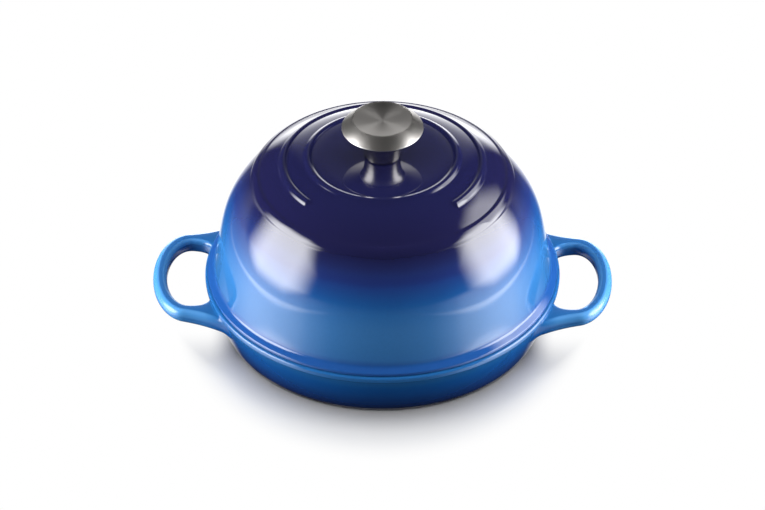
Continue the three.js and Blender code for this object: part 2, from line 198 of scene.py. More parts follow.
class KnobSizes(bpy.types.PropertyGroup):
    """Sizes of the steel knob."""
    neck_foot: length("Neck foot", "Radius of the neck just above the lid", 12.7 * MM)
    neck_top: length("Neck top", "Radius of the neck under the cap", NECK_HIGH.x)
    neck_height: length("Neck height", "Lid to the underside of the cap", 18 * MM)
    neck_straight: length("Neck straight", "How high the neck goes up before it flares", 12.6 * MM)
    neck_edge: length("Neck edge", "Chamfers at the neck's two ends", 1.2 * MM)
    groove_height: length("Groove height", "Height of the fine groove round the neck", 9.8 * MM)
    groove_depth: length("Groove depth", "Depth of that groove", 0.09 * MM)
    bore: length("Bore", "Radius of the neck's bore", 6.3 * MM)
    spigot: length("Spigot", "Radius of the neck's spigot inside the cap", 11.15 * MM)
    cap_radius: length("Cap radius", "Widest radius of the cap", CAP_HIGH.x)
    cap_rise: length("Cap rise", "How much the cap's underside climbs to its lip", 5.3 * MM)
    cap_lip: length("Cap lip", "Height of the rolled lip", 1.4 * MM)
    cap_slope: slant("Cap slope", "Slope of the cap where it meets the disc", 40)
    cap_fall: slant("Cap fall", "Slope of the cap just above its lip", 47)
    cap_wall: length("Cap wall", "Thickness of the pressed cap", 1.8 * MM)
    cap_rim: length("Cap rim", "Width of the cap's rim round the disc", 0.3 * MM)
    disc_radius: length("Disc radius", "Radius of the disc let into the cap", DISC_HIGH.x)
    disc_thickness: length("Disc thickness", "Thickness of the disc", 1.2 * MM)
    disc_dish: length("Disc dish", "How far the middle of the disc lies below its edge", 0.9 * MM)
    fit: length("Fit", "Gap between pieces that fit into each other", 0.3 * MM)


class ScrewSizes(bpy.types.PropertyGroup):
    """Sizes of the screw, its washers and the threaded bush."""
    thread_radius: length("Thread radius", "Outside of the thread", 2.5 * MM)
    thread_pitch: length("Thread pitch", "From one thread to the next", 0.8 * MM)
    thread_depth: length("Thread depth", "Depth of the thread", 0.35 * MM)
    head_radius: length("Head radius", "Radius of the pan head", SCREW_HIGH.x)
    head_height: length("Head height", "Height of the pan head", 3.2 * MM)
    head_edge: length("Head edge", "Rounding of the pan head", 1.5 * MM)
    drive_width: length("Drive width", "Width of the cross drive's slots", 1.1 * MM)
    drive_depth: length("Drive depth", "Depth of the cross drive", 1.6 * MM)
    washer_edge: length("Washer edge", "Rounding of the washers' edges", 0.25 * MM)
    washer_split: length("Washer split", "Width of the spring washer's cut", 0.9 * MM)


class EnamelColours(bpy.types.PropertyGroup):
    """Colours of the fading enamel, from the foot to the crown."""
    # At the foot the colour is near black: partly the enamel's own darkening and partly painted shade on
    # the rounding where the base meets the ground.
    foot: colour("Foot", "Base, at the foot", "0A0F26")
    wall_low: colour("Lower wall", "Base, low on the wall", "0C2450")
    wall: colour("Wall", "Base, halfway up the wall", "0C356A")
    wall_high: colour("Upper wall", "Base, under the lip", "0D437E")
    lip: colour("Lip", "Base, at the lip and the handles", "184C80")
    skirt: colour("Skirt", "Lid, on the skirt", "174078")
    dome_foot: colour("Dome foot", "Lid, at the foot of the dome", "215183")
    dome_low: colour("Lower dome", "Lid, low on the dome", "25578A")
    dome: colour("Dome", "Lid, halfway up the dome", "17477C")
    dome_high: colour("Upper dome", "Lid, high on the dome", "152A5C")
    shoulder: colour("Shoulder", "Lid, under the outer bead", "16204A")
    crown: colour("Crown", "Lid, on top", "131434")
    # edge is a painted highlight: the pale blue that lightens the handles' rounded edges.
    edge: colour("Edge", "Handles, where the coats draw back from an edge", "5FA3DA")
    lining: colour("Lining", "Inside of both castings", "17171A")


class SteelColours(bpy.types.PropertyGroup):
    """Colours of the knob's steel and its fastening."""
    polished: colour("Polished", "Neck", "C4C1BE")
    satin: colour("Satin", "Cap", "BAB7B4")
    spun: colour("Spun", "Disc on top", "B6B3B0")
    turned: colour("Turned", "Screw, washers and bush", "B2B0AC")


class StudioSettings(bpy.types.PropertyGroup):
    """The camera, the table and the lights."""
    distance: length("Distance", "Camera to the middle of the pot", 4.292)
    elevation: slant("Elevation", "How far the camera looks down", 36.78)
    azimuth: slant("Azimuth", "How far the camera stands round to the right", 1.0)
    aim: length("Aim", "Height of the point that the camera looks at", 53.4 * MM)
    focal_pixels: amount("Focal length", "Lens of the photograph in pixels of its frame", 6000)
    box_distance: length("Softbox distance", "Middle of the pot to each softbox", 0.90)
    left_angle: slant("Left softbox angle", "How far round to the left the first softbox stands", 76)
    right_angle: slant("Right softbox angle", "How far round to the right the second softbox stands", 87.5)
    box_half: length("Softbox half width", "Middle of a softbox to where it starts to fade", 0.18)
    box_low: length("Softbox low", "Height below which a softbox fades", 0.15)
    box_high: length("Softbox high", "Height above which a softbox fades", 0.52)
    side_fade: length("Side fade", "Width over which a softbox fades at its sides", 0.39)
    low_fade: length("Low fade", "Width over which a softbox fades at its bottom", 0.26)
    high_fade: length("High fade", "Width over which a softbox fades at its top", 0.40)
    box_level: amount("Softbox level", "Brightness of the first two softboxes", 12.5)
    rear_angle: slant("Rear angle", "How far round to the right the third softbox stands", 104)
    rear_lift: length("Rear lift", "How much higher the third softbox stands", 0.38)
    rear_level: amount("Rear level", "Brightness of the third softbox", 5.0)
    side_angle: slant("Side lamp angle", "How far round from the front each side lamp stands", 100)
    side_distance: length("Side lamp distance", "Middle of the pot to each side lamp", 0.7)
    side_height: length("Side lamp height", "Ground to the middle of a side lamp", 0.2)
    side_width: length("Side lamp width", "Across a side lamp", 0.3)
    side_power: amount("Side lamp power", "Power of a side lamp, in watts", 5)
    overhead_height: length("Overhead height", "Ground to the round light above", 2.0)
    overhead_width: length("Overhead width", "Across the round light above", 3.4)
    overhead_power: amount("Overhead power", "Power of the round light above, in watts", 73)


def group(kind, name):
    """One group of the pot's settings."""
    return bpy.props.PointerProperty(type=kind, name=name, description=kind.__doc__)


class PotSettings(bpy.types.PropertyGroup):
    """Everything that can be changed on the pot."""
    base: group(BaseSizes, "Base")
    handle: group(HandleSizes, "Handles")
    lid: group(LidSizes, "Lid")
    knob: group(KnobSizes, "Knob")
    screw: group(ScrewSizes, "Screw")
    enamel: group(EnamelColours, "Enamel")
    steel: group(SteelColours, "Steel")
    studio: group(StudioSettings, "Studio")


def settings():
    """The pot's settings in this scene."""
    return bpy.context.scene.bread_pot


# Lines in a plane. A profile point is the complex number radius + height * 1j,
# and a point of a plan is x + y * 1j.

def unit(vector):
    """The direction of a vector, with length 1."""
    return vector / abs(vector)


def curve(controls, steps):
    """Points along the smooth curve from the first control to the last, which the others pull."""
    def at(share):
        row = controls
        while len(row) > 1:
            row = [a + (b - a) * share for a, b in zip(row, row[1:])]
        return row[0]
    return [at(i / steps) for i in range(steps + 1)]


def rounded(corners, steps=FILLET_STEPS):
    """A closed line through (point, fillet) corners, with each fillet as an arc."""
    line = []
    for i, (here, fillet) in enumerate(corners):
        if fillet == 0:
            line.append(here)
            continue
        back = unit(corners[i - 1][0] - here)
        ahead = unit(corners[(i + 1) % len(corners)][0] - here)
        half = abs(cmath.phase(ahead / back)) / 2
        reach = fillet / math.tan(half)
        centre = here + unit(back + ahead) * fillet / math.sin(half)
        start = here + back * reach - centre
        turn = cmath.phase((here + ahead * reach - centre) / start)
        line += [centre + start * cmath.rect(1, turn * k / steps) for k in range(steps + 1)]
    return line


def divided(line, spacing):
    """The same line with no two points further apart than the spacing."""
    points = [line[0]]
    for a, b in zip(line, line[1:]):
        parts = max(1, math.ceil(abs(b - a) / spacing))
        points += [a + (b - a) * k / parts for k in range(1, parts + 1)]
    return points


def offset(line, distance):
    """The line moved sideways, to its left as it runs."""
    moved = []
    for i, here in enumerate(line):
        along = unit(line[min(i + 1, len(line) - 1)] - line[max(i - 1, 0)])
        moved.append(here + along * 1j * distance)
    return moved


def around(steps):
    """Even angles round the pot from its front."""
    return [2 * math.pi * i / steps for i in range(steps)]


# Meshes

def placed(name, data):
    """A new object in the scene."""
    made = bpy.data.objects.new(name, data)
    bpy.context.scene.collection.objects.link(made)
    return made


def round_axis(angle, radius, height):
    """The place at an angle round from the front of the pot."""
    return (radius * math.sin(angle), -radius * math.cos(angle), height)


def made_object(name, points, faces, finishes=None):
    """A smooth mesh as an object. finishes gives the material of each face."""
    mesh = bpy.data.meshes.new(name)
    mesh.from_pydata(points, [], faces)
    if finishes:
        mesh.polygons.foreach_set("material_index", finishes)
    mesh.polygons.foreach_set("use_smooth", [True] * len(faces))
    mesh.update()
    return placed(name, mesh)


def turned(name, line, angles, finishes=None, lift=None):
    """A closed profile turned about Z, as an object. Its outside is to the right of the line.
    lift gives the extra height at a radius, angle and height, and finishes a material for each point."""
    points, rings = [], []
    for spot in line:
        radius, height = spot.real, spot.imag
        if radius < AXIS_RADIUS:
            rings.append([len(points)] * len(angles))
            points.append((0, 0, height))
            continue
        rings.append(list(range(len(points), len(points) + len(angles))))
        for angle in angles:
            extra = lift(radius, angle, height) if lift else 0
            points.append(round_axis(angle, radius, height + extra))
    faces, kinds = [], []
    for i, ring in enumerate(rings):
        after = rings[(i + 1) % len(rings)]
        for j in range(len(angles)):
            k = (j + 1) % len(angles)
            corners = tuple(dict.fromkeys((ring[j], ring[k], after[k], after[j])))
            if len(corners) > 2:
                faces.append(corners)
                kinds.append(finishes[i] if finishes else OUTSIDE)
    return made_object(name, points, faces, kinds)


def joined(target, others, operation):
    """Changes the target by a boolean with each of the other objects, and removes those."""
    for other in others:
        step = target.modifiers.new(operation.title(), "BOOLEAN")
        step.operation = operation
        step.solver = "MANIFOLD"
        step.object = other
    depsgraph = bpy.context.evaluated_depsgraph_get()
    shape = bpy.data.meshes.new_from_object(target.evaluated_get(depsgraph))
    target.modifiers.clear()
    target.data = shape
    for other in others:
        bpy.data.objects.remove(other)


def check_closed(thing):
    """Stops if a piece's mesh has an open or doubled edge."""
    mesh = bmesh.new()
    mesh.from_mesh(thing.data)
    loose = [edge for edge in mesh.edges if not edge.is_manifold]
    mesh.free()
    if loose:
        raise RuntimeError(f"{thing.name} has {len(loose)} edges that aren't closed")


def coat(things, finishes):
    """Gives pieces their materials, before any boolean, so that each face keeps its own."""
    for thing in things:
        for finish in finishes:
            thing.data.materials.append(finish)


def dress(thing, body, nodes, crease):
    """Checks that a finished piece is closed, hangs it on the body that it rides on, hides the parts that
    it stands for, and sharpens its edges.
    """
    check_closed(thing)
    thing.data.set_sharp_from_angle(angle=math.radians(crease))
    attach(thing, body)
    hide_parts(*nodes)


# Materials

def node(tree, kind, inputs=None, **options):
    """Adds a shader node with its settings. An input is a value, the socket that feeds it,
    or a node that feeds it from its first output."""
    made = tree.nodes.new("ShaderNode" + kind)
    for name, value in options.items():
        setattr(made, name, value)
    for key, value in (inputs or {}).items():
        if isinstance(value, bpy.types.Node):
            value = value.outputs[0]
        if isinstance(value, bpy.types.NodeSocket):
            tree.links.new(value, made.inputs[key])
        else:
            made.inputs[key].default_value = value
    return made


def fill_ramp(ramp, stops):
    """Sets a colour ramp to (position, colour) stops."""
    while len(ramp.elements) > 1:
        ramp.elements.remove(ramp.elements[-1])
    for i, (position, shade) in enumerate(stops):
        element = ramp.elements[0] if i == 0 else ramp.elements.new(position)
        element.position = position
        element.color = shade


def bare_material(name):
    """A material with no nodes yet, and its tree."""
    made = bpy.data.materials.new(name)
    made.use_nodes = True
    made.node_tree.nodes.clear()
    return made, made.node_tree


def from_axis(tree, spot, stretch=(1, 1, 0)):
    """How far a place lies from the Z axis, and the place's three parts."""
    flat = node(tree, "VectorMath", {0: spot, 1: stretch}, operation="MULTIPLY")
    out = node(tree, "VectorMath", {0: flat}, operation="LENGTH").outputs["Value"]
    return out, node(tree, "SeparateXYZ", {0: spot}).outputs


def patches(tree, spot, size, detail, low, high):
    """An amount that wanders between two values, in patches of a size."""
    cloud = node(tree, "TexNoise", {"Vector": spot, "Scale": 1 / size, "Detail": detail})
    return node(tree, "MapRange", {"Value": cloud, "To Min": low, "To Max": high})


def fading_enamel(name, stops, rim_radius, edge):
    """Vitreous enamel, sprayed in overlapping coats and fired to a glass over cast iron.
    The coats fade into each other with height, the glass over them reflects sharply, and its
    surface is faintly wavy, which shows where a bright reflection ends. stops are heights and colours.
    Past rim_radius, on the handles, the glass is thinner and its shine is broad and soft, and on their
    rounded edges the colour is mixed towards edge, a paler blue, as a painted highlight."""
    made, tree = bare_material(name)
    low, high = stops[0][0], stops[-1][0]
    drift_size, drift_reach, root_width = 22 * MM, 3 * MM, 8 * MM
    spot = node(tree, "TexCoord").outputs["Object"]
    out, parts = from_axis(tree, spot)
    drift = node(tree, "TexNoise", {"Vector": spot, "Scale": 1 / drift_size, "Detail": 3})
    uneven = node(tree, "Math", {0: drift, 1: drift_reach, 2: parts["Z"]}, operation="MULTIPLY_ADD")
    share = node(tree, "MapRange", {
        "Value": uneven, "From Min": low + drift_reach / 2, "From Max": high + drift_reach / 2})
    fade = node(tree, "ValToRGB", {"Fac": share})
    fade.color_ramp.interpolation = "CARDINAL"
    fill_ramp(fade.color_ramp, [((z - low) / (high - low), opaque(shade)) for z, shade in stops])
    # The pigment's own grain is finer than a pixel, so its clouding is drawn about 2 mm wide.
    tone = patches(tree, spot, size=2 * MM, detail=2, low=0.95, high=1.05)
    tinted = node(tree, "HueSaturation", {"Color": fade, "Value": tone})
    held = node(tree, "MapRange", {
        "Value": out, "From Min": rim_radius, "From Max": rim_radius + root_width})
    shine = node(tree, "MapRange", {"Value": held, "To Min": 0.07, "To Max": 0.2})
    # A painted highlight: on the handles' rounded edges, found by their pointiness, the colour is mixed
    # towards the pale edge colour.
    sharp = node(tree, "NewGeometry").outputs["Pointiness"]
    drawn = node(tree, "MapRange", {"Value": sharp, "From Min": 0.506, "From Max": 0.527, "To Max": 0.42})
    thin = node(tree, "Math", {0: drawn, 1: held}, operation="MULTIPLY")
    colour_with_painted_highlight = node(tree, "Mix", {0: thin, 6: tinted, 7: opaque(edge)}, data_type="RGBA").outputs[2]
    peel_size, peel_depth = 8 * MM, 0.012 * MM
    peel = node(tree, "TexNoise", {"Vector": spot, "Scale": 1 / peel_size, "Detail": 1})
    bump = node(tree, "Bump", {"Height": peel, "Distance": peel_depth})
    glaze = node(tree, "BsdfPrincipled", {
        "Base Color": colour_with_painted_highlight, "Roughness": shine, "Normal": bump, "IOR": 1.55})
    node(tree, "OutputMaterial", {"Surface": glaze})
    return made


def black_enamel(name, shade):
    """Satin black enamel, fired rough so that fat soaks in: near black with a broad soft shine
    and a fine pebbled grain."""
    made, tree = bare_material(name)
    spot = node(tree, "TexCoord").outputs["Object"]
    # The real grain is about 0.3 mm; it is drawn 0.9 mm wide so that it shows.
    grain_size, grain_depth = 0.9 * MM, 0.05 * MM
    grain = node(tree, "TexNoise", {"Vector": spot, "Scale": 1 / grain_size, "Detail": 2})
    bump = node(tree, "Bump", {"Height": grain, "Distance": grain_depth})
    speck = node(tree, "MapRange", {"Value": grain, "To Min": 0.8, "To Max": 1.25})
    tinted = node(tree, "HueSaturation", {"Color": opaque(shade), "Value": speck})
    shine = patches(tree, spot, size=18 * MM, detail=3, low=0.38, high=0.52)
    glaze = node(tree, "BsdfPrincipled", {
        "Base Color": tinted, "Roughness": shine, "Normal": bump, "IOR": 1.5})
    node(tree, "OutputMaterial", {"Surface": glaze})
    return made


def lathed_steel(name, shade, roughness, grain, line_width, line_depth):
    """Stainless steel finished on a lathe: fine lines run round the axis, so that a reflection
    is drawn out across them. grain is how strongly, line_width and line_depth are the lines' size."""
    made, tree = bare_material(name)
    spot = node(tree, "TexCoord").outputs["Object"]
    out, parts = from_axis(tree, spot)
    # Radius and height alone place a line, so that each one is a ring round the axis.
    ring = node(tree, "CombineXYZ", {"X": out, "Z": parts["Z"]})
    lines = node(tree, "TexNoise", {
        "Vector": ring, "Scale": 1 / line_width, "Detail": 4, "Roughness": 0.7})
    bump = node(tree, "Bump", {"Height": lines, "Distance": line_depth})
    tone = node(tree, "MapRange", {"Value": lines, "To Min": 0.9, "To Max": 1.1})
    tinted = node(tree, "HueSaturation", {"Color": opaque(shade), "Value": tone})
    spread = patches(tree, spot, size=9 * MM, detail=3, low=roughness * 0.85, high=roughness * 1.15)
    turning = node(tree, "Tangent", direction_type="RADIAL", axis="Z")
    steel = node(tree, "BsdfPrincipled", {
        "Base Color": tinted, "Metallic": 1.0, "Roughness": spread, "Normal": bump,
        "Anisotropic": grain, "Tangent": turning})
    node(tree, "OutputMaterial", {"Surface": steel})
    return made


# Base

def wall_radius(base, height):
    """Radius of the base's outer wall at a height."""
    top_radius = base.rim_radius - base.lip_step
    top = base.height - base.lip_height
    return base.foot_radius + (top_radius - base.foot_radius) * height / top


def base_line(base):
    """Profile of the base, from the middle of its underside round to the middle of its floor,
    and the material of each point."""
    mouth = base.rim_radius - base.lip_step - base.wall
    lip_low = base.height - base.lip_height
    corners = [
        (complex(0, 0), 0),
        (complex(base.foot_radius, 0), base.foot_fillet),
        (complex(base.rim_radius - base.lip_step, lip_low), base.lip_break),
        (complex(base.rim_radius, lip_low + base.lip_step), base.lip_break),
        (complex(base.rim_radius, base.height), base.lip_edge),
        (complex(mouth, base.height), base.lip_break),
        (complex(mouth, lip_low), base.lip_height / 2),
        (complex(base.floor_radius, base.floor), base.floor_fillet),
        (complex(0, base.floor), 0),
    ]
    spacing = 1.5 * MM
    line = divided(rounded(corners), spacing)
    half = base.ridge_width / 2

    def ridged(spot):
        near = round(spot.real / base.ridge_spacing)
        away = abs(spot.real - near * base.ridge_spacing)
        on_floor = abs(spot.imag - base.floor) < base.ridge_height / 100
        if not on_floor or not 1 <= near <= base.ridge_count or away > half:
            return spot
        return spot + 1j * base.ridge_height * math.cos(away / half * math.pi / 2) ** 2

    # The lining starts in the middle of the lip's flat top.
    inside = [i for i, spot in enumerate(line) if spot.imag > base.height - base.lip_edge / 50]
    seam = inside[len(inside) // 2]
    finishes = [OUTSIDE if i < seam else LINING for i in range(len(line))]
    return [ridged(spot) for spot in line], finishes


def handle_edges(handle, base):
    """Plan of one half of a loop, from its root inside the wall to its tip: its outer and inner edge."""
    steps_root, steps_end = 22, 34
    outer_tuck, inner_tuck, wall_depth = 0.02, 0.06, 0.3 * base.wall
    mouth = base.rim_radius - base.lip_step - base.wall
    half = handle.span / 2
    bend = handle.tip - handle.end
    root_half = half + handle.root_flare
    root = complex(math.sqrt(mouth ** 2 - root_half ** 2), -root_half)
    pull = handle.end * PULL
    leave = root + complex(pull, pull * math.tan(handle.root_slant))
    side = complex(pull, pull * math.tan(handle.taper))
    turn = complex(bend, -half)
    outer = curve([root, leave, turn - side, turn], steps_root)
    outer += curve([
        turn, turn + side, complex(handle.tip, -half * PULL), complex(handle.tip, 0)], steps_end)[1:]

    inside = half - handle.bar
    hole_bend = handle.tip - handle.bar - handle.hole_end
    inner = curve([
        complex(mouth, handle.hole_corner - inside), complex(mouth, -inside),
        complex(hole_bend, -inside)], steps_root)
    for k in range(1, steps_end + 1):
        angle = math.pi / 2 * (k / steps_end - 1)
        inner.append(complex(hole_bend + handle.hole_end * math.cos(angle), inside * math.sin(angle)))
    # Both edges go on a little way into the wall.
    middle = mouth - wall_depth
    outer.insert(0, cmath.rect(middle, cmath.phase(outer[0]) - outer_tuck))
    inner.insert(0, cmath.rect(middle, cmath.phase(inner[0]) + inner_tuck))
    return outer, inner


def bar_section(width, handle):
    """Rounded section of the bar as points across + up * 1j, with the same count at every width.
    Its outer side is at 0 across."""
    across_steps = 12
    side = FILLET_STEPS + 1
    thickness = handle.tip_thickness
    loop = rounded([
        (complex(0, 0), handle.outer_edge), (complex(width, 0), handle.inner_edge),
        (complex(width, thickness), handle.inner_edge), (complex(0, thickness), handle.outer_edge)])

    def face(corner):
        start, end = loop[corner * side - 1], loop[corner * side]
        return [start + (end - start) * k / across_steps for k in range(1, across_steps)]

    bulged = []
    for spot in loop[:side] + face(1) + loop[side:3 * side] + face(3) + loop[3 * side:]:
        swell = handle.crown * math.sin(math.pi * min(max(spot.real / width, 0), 1))
        bulged.append(spot + 1j * swell * (2 * spot.imag / thickness - 1))
    return bulged


def fillet_fall(distance, radius):
    """How far a fillet of a radius has climbed at a distance from the wall that it meets."""
    # It stops short of upright where it meets the wall.
    least = 0.13 * radius
    left = radius - min(max(distance, least), radius)
    return radius - math.sqrt(radius ** 2 - left ** 2)


def handle_mesh(name, handle, base, side):
    """One loop handle as a swept bar. side is 1 on the right and -1 on the left."""
    outer, inner = handle_edges(handle, base)
    outer += [spot.conjugate() for spot in reversed(outer[:-1])]
    inner += [spot.conjugate() for spot in reversed(inner[:-1])]
    count = len(outer)
    out_reach = handle.tip - base.rim_radius
    thicker = handle.root_thickness - handle.tip_thickness
    root_steps = 14
    points, rings = [], []
    for i, (far, near) in enumerate(zip(outer, inner)):
        width = abs(near - far)
        # Near its root, the section bends with the round wall.
        from_root = min(i, count - 1 - i)
        hug = max(0, 1 - from_root / root_steps) ** 2
        sag = width ** 2 / (8 * base.rim_radius) * hug
        outward = unit((far + near) / 2)
        ring = []
        for spot in bar_section(width, handle):
            share = spot.real / width
            plan = far + (near - far) * share + outward * sag * 4 * share * (1 - share)
            inward = (handle.tip - plan.real) / out_reach
            up = spot.imag / handle.tip_thickness
            top = base.height - handle.drop - handle.rise * inward
            thickness = handle.tip_thickness + thicker * inward
            height = top - thickness * (1 - up)
            away = abs(plan) - wall_radius(base, height)
            if up < 0.5:
                height -= fillet_fall(away, handle.under_fillet) * (1 - 2 * up)
            else:
                height += fillet_fall(away, handle.top_fillet) * (2 * up - 1)
            # The root ends inside the sloping wall, so that it doesn't come out in the pot.
            core = wall_radius(base, height) - base.wall / 2
            if abs(plan) < core:
                plan *= core / abs(plan)
            ring.append(len(points))
            points.append((side * plan.real, side * plan.imag, height))
        rings.append(ring)
    faces = []
    size = len(rings[0])
    for ring, after in zip(rings, rings[1:]):
        faces += [(ring[k], ring[(k + 1) % size], after[(k + 1) % size], after[k]) for k in range(size)]
    faces += [tuple(reversed(rings[0])), tuple(rings[-1])]
    made = made_object(name, points, faces)
    shape = bmesh.new()
    shape.from_mesh(made.data)
    bmesh.ops.recalc_face_normals(shape, faces=shape.faces)
    shape.to_mesh(made.data)
    shape.free()
    return made


class CastBase(bpy.types.Operator):
    """Casts the base with its two loop handles and enamels it"""
    bl_idname = "bread_pot.base"
    bl_label = "Cast base"

    def execute(self, context):
        pot = settings()
        line, finishes = base_line(pot.base)
        body = turned("base_casting", line, around(ROUND_STEPS), finishes)
        loops = [handle_mesh(f"loop_{side}", pot.handle, pot.base, side) for side in (1, -1)]
        shades = pot.enamel
        # The pale edge colour passed here is a painted highlight on the handles' rounded edges.
        glaze = fading_enamel("Fading blue vitreous enamel on base", [
            # The near-black foot colour here is partly painted shade where the base meets the ground.
            (0, shades.foot), (8 * MM, shades.wall_low), (17 * MM, shades.wall),
            (28 * MM, shades.wall_high), (34 * MM, shades.lip), (40 * MM, shades.lip),
        ], pot.base.rim_radius, shades.edge)
        black = black_enamel("Satin black enamel lining of base", shades.lining)
        coat([body] + loops, [glaze, black])
        joined(body, loops, "UNION")
        dress(body, "base", ["base"], crease=32)
        return {"FINISHED"}


# Lid

def crown_height(lid, radius):
    """Height of the bare crown at a radius."""
    past = max(radius - lid.crown_start, 0)
    fall = lid.crown_curve - math.sqrt(max(lid.crown_curve ** 2 - past ** 2, 0))
    return lid.top - radius ** 2 / (2 * lid.plateau_curve) - fall


def bead_lift(lid, radius, angle):
    """Extra height of the beads at a place on the crown. The middle bead ends in two round tips."""
    half = lid.bead_width / 2
    inset = lid.bead_break / 2 + half / lid.middle_bead
    front = (angle + math.pi) % (2 * math.pi) - math.pi
    away = [abs(radius - lid.inner_bead), abs(radius - lid.outer_bead)]
    if abs(front) > inset:
        away.append(abs(radius - lid.middle_bead))
    else:
        tip = cmath.rect(lid.middle_bead, math.copysign(inset, front))
        away.append(abs(cmath.rect(radius, front) - tip))
    rise = lid.bead_height * (1 - (min(away) / half) ** 2)
    past = (radius - lid.outer_bead) / lid.outer_flank
    if past > 0:
        rise = lid.bead_height * (math.sqrt(max(1 - past ** 2, 0)) - max(past - 1, 0))
    overlap = max(lid.bead_blend - abs(rise), 0)
    return max(rise, 0) + overlap ** 2 / (4 * lid.bead_blend)


def bead_radii(lid):
    """Radii at which the crown is drawn, from the shoulder in, close together on the beads."""
    margin, fine, coarse = 1.25, 0.28 * MM, 2.2 * MM
    half = lid.bead_width / 2 * margin
    radius = lid.outer_bead + lid.bead_width / 2
    radii = []
    while radius > lid.screw_hole:
        radii.append(radius)
        near = min(abs(radius - bead) for bead in (lid.inner_bead, lid.middle_bead, lid.outer_bead))
        radius -= fine if near < half else min(coarse, max(near - half, fine))
    return radii + [lid.screw_hole]


def lid_line(lid):
    """Profile of the lid without its beads, from its seat over the dome and back along its lining,
    and the material of each point."""
    dome_steps, dome_skip, lining_skip, lining_end = 400, 6, 4, 66
    small_edge, seat_edge, foot_straight, spigot_rise = 0.8 * MM, 0.6 * MM, 2 * MM, 5 * MM
    foot = complex(lid.foot_radius, lid.seat + lid.foot_height)
    shoulder_radius = lid.outer_bead + lid.bead_width / 2
    top = complex(shoulder_radius, crown_height(lid, shoulder_radius))
    up_wall = complex(-math.sin(lid.wall_lean), math.cos(lid.wall_lean))
    down_shoulder = complex(math.cos(lid.shoulder_slope), -math.sin(lid.shoulder_slope))
    start = foot + up_wall * foot_straight
    pull = (top.imag - start.imag) * PULL
    dome = curve([start, start + up_wall * pull, top + down_shoulder * pull, top], dome_steps)
    # Only the outer bead's fall, near the shoulder, needs all of the dome's points.
    flank = shoulder_radius + lid.outer_flank
    dome = [spot for i, spot in enumerate(dome) if i % dome_skip == 0 or spot.real < flank]
    crown = [complex(radius, crown_height(lid, radius)) for radius in bead_radii(lid)]
    skirt = rounded([
        (complex(lid.spigot_radius, lid.seat), 0),
        (complex(lid.radius, lid.seat), seat_edge),
        (complex(lid.radius, lid.seat + lid.skirt_height), lid.skirt_edge),
        (foot, lid.skirt_fillet),
        (start, 0)])
    outside = skirt[:-1] + dome + crown[1:]
    # Under the crown, a few rings are enough for the lining.
    bare = [complex(radius, crown_height(lid, radius))
            for radius in (80 * MM, 65 * MM, 50 * MM, 40 * MM, 20 * MM, lid.screw_hole)]
    lining = list(reversed(offset(dome[:lining_end:lining_skip] + bare, lid.wall)))
    lining[0] = complex(lid.screw_hole, lining[0].imag)
    low = LID_LOW.z
    spigot_in = lid.spigot_radius - lid.spigot_width
    spigot = rounded([
        (complex(spigot_in, low + spigot_rise), 0),
        (complex(spigot_in, low), small_edge),
        (complex(lid.spigot_radius, low), small_edge),
        (complex(lid.spigot_radius, lid.seat), 0)])[:-1]
    line = outside + lining + spigot
    finishes = [OUTSIDE] * (len(outside) - 1) + [LINING] * (len(lining) + len(spigot) + 1)
    # The seat is as black as the lining.
    finishes[0] = LINING
    return line, finishes


def lid_angles(lid):
    """Angles round the lid, closer together at the two ends of the middle bead."""
    coarse, fine = math.radians(1.2), math.radians(0.2)
    ends = lid.bead_break / 2 + lid.bead_width / 2 / lid.middle_bead
    reach = 1.4 * lid.bead_width / lid.middle_bead
    angles, angle = [], 0.0
    while angle < math.pi - coarse / 2:
        angles.append(angle)
        angle += fine if abs(angle - ends) < reach / 2 else coarse
    return angles + [math.pi] + [2 * math.pi - a for a in reversed(angles[1:])]


class CastLid(bpy.types.Operator):
    """Casts the domed lid with its beads and enamels it"""
    bl_idname = "bread_pot.lid"
    bl_label = "Cast lid"

    def execute(self, context):
        pot = settings()
        lid = pot.lid
        line, finishes = lid_line(lid)
        crown_low = crown_height(lid, lid.outer_bead + lid.bead_width) - lid.bead_height

        def lift(radius, angle, height):
            on_top = height > crown_height(lid, radius) - lid.wall / 2
            return bead_lift(lid, radius, angle) if on_top and height > crown_low else 0

        body = turned("lid_casting", line, lid_angles(lid), finishes, lift)
        shades = pot.enamel
        glaze = fading_enamel("Fading blue vitreous enamel on lid", [
            (40 * MM, shades.skirt), (46 * MM, shades.skirt), (50 * MM, shades.dome_foot),
            (74 * MM, shades.dome_low), (88 * MM, shades.dome), (103 * MM, shades.dome_high),
            (111 * MM, shades.shoulder), (120 * MM, shades.crown), (142 * MM, shades.crown),
        ], pot.base.rim_radius, shades.edge)
        black = black_enamel("Satin black enamel lining of lid", shades.lining)
        coat([body], [glaze, black])
        dress(body, "lid", ["lid"], crease=40)
        return {"FINISHED"}


# Knob

def neck_line(knob):
    """Profile of the neck, with a fine groove round it."""
    low = NECK_LOW.z
    top = low + knob.neck_height
    edge = knob.neck_edge
    flare_steps, fine_edge, end_edge = 36, 0.15 * MM, 0.2 * MM
    reach = 3 * knob.groove_depth
    line = curve([
        complex(knob.neck_foot, low + edge),
        complex(knob.neck_foot, low + knob.neck_straight),
        complex(knob.neck_top, top - edge)], flare_steps)
    groove = low + knob.groove_height
    below = [spot for spot in line if spot.imag < groove - reach]
    above = [spot for spot in line if spot.imag > groove + reach]
    middle = (below[-1] + above[0]) / 2 - knob.groove_depth
    flare = below + [middle] + above
    return rounded([
        (complex(knob.bore, low), end_edge),
        (complex(knob.neck_foot - edge, low), fine_edge)] + [(spot, 0) for spot in flare] + [
        (complex(knob.neck_top - edge, top), fine_edge),
        (complex(knob.spigot, top), 0),
        (complex(knob.spigot, NECK_HIGH.z), end_edge),
        (complex(knob.bore, NECK_HIGH.z), end_edge)])


